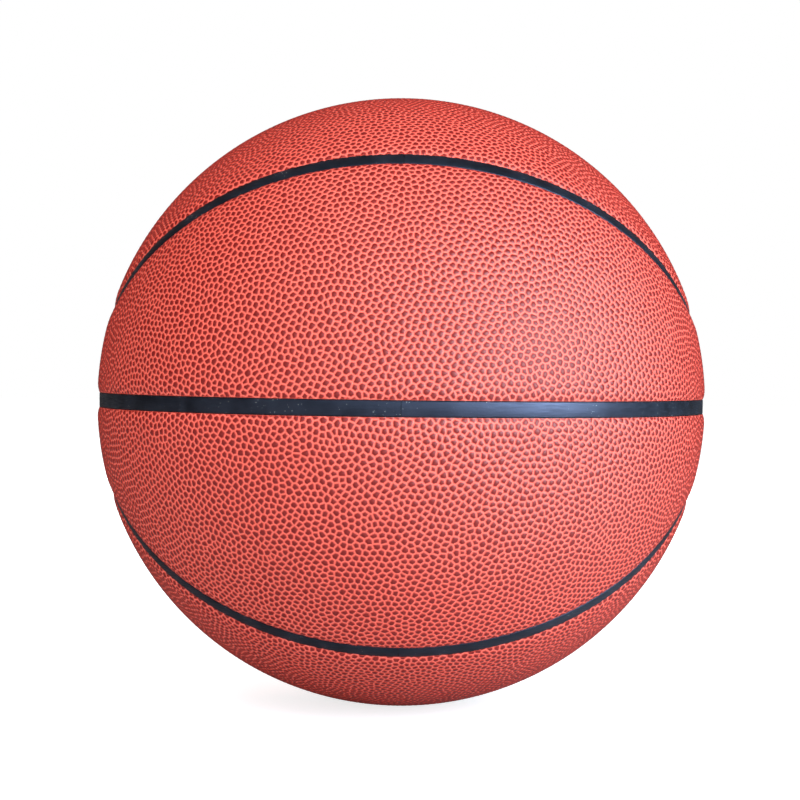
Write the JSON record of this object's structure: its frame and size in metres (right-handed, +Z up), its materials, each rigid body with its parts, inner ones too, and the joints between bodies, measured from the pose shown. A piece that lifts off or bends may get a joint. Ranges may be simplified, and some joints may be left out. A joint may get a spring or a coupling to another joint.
{
  "type": "basketball",
  "caption": "Inflated basketball of pebbled cover panels set between recessed channel strips, over a carcass, a yarn winding and a bladder with a needle valve.",
  "frame": {"origin": "middle of the ball", "axes": "+Z up through the middle of the oval seams, -Y towards the front, +X to the right, where the seams cross on the circle through both poles"},
  "size_m": [0.2416, 0.2418, 0.2418],
  "materials": {
    "cover_leather": "pebbled, satin",
    "strip_rubber": "satin",
    "carcass_rubber": "matt, as moulded",
    "nylon_yarn": "wound yarn",
    "bladder_butyl": "smooth, as moulded",
    "valve_rubber": "smooth, as moulded",
    "valve_plug_rubber": "smooth, as moulded"
  },
  "bodies": {
    "root": {"bladder": "bladder_butyl", "valve_housing": "valve_rubber", "valve_plug": "valve_plug_rubber", "winding": "nylon_yarn", "carcass": "carcass_rubber", "panel_front_upper": "cover_leather", "panel_front_lower": "cover_leather", "panel_back_upper": "cover_leather", "panel_back_lower": "cover_leather", "panel_top_front": "cover_leather", "panel_top_back": "cover_leather", "panel_bottom_front": "cover_leather", "panel_bottom_back": "cover_leather", "strip_equator_left": "strip_rubber", "strip_equator_right": "strip_rubber", "strip_upper_oval_left": "strip_rubber", "strip_upper_oval_right": "strip_rubber", "strip_lower_oval_left": "strip_rubber", "strip_lower_oval_right": "strip_rubber", "strip_crown_left": "strip_rubber", "strip_crown_right": "strip_rubber", "strip_keel_left": "strip_rubber", "strip_keel_right": "strip_rubber", "strip_link_upper_left": "strip_rubber", "strip_link_upper_right": "strip_rubber", "strip_link_lower_left": "strip_rubber", "strip_link_lower_right": "strip_rubber"}
  },
  "joints": []
}
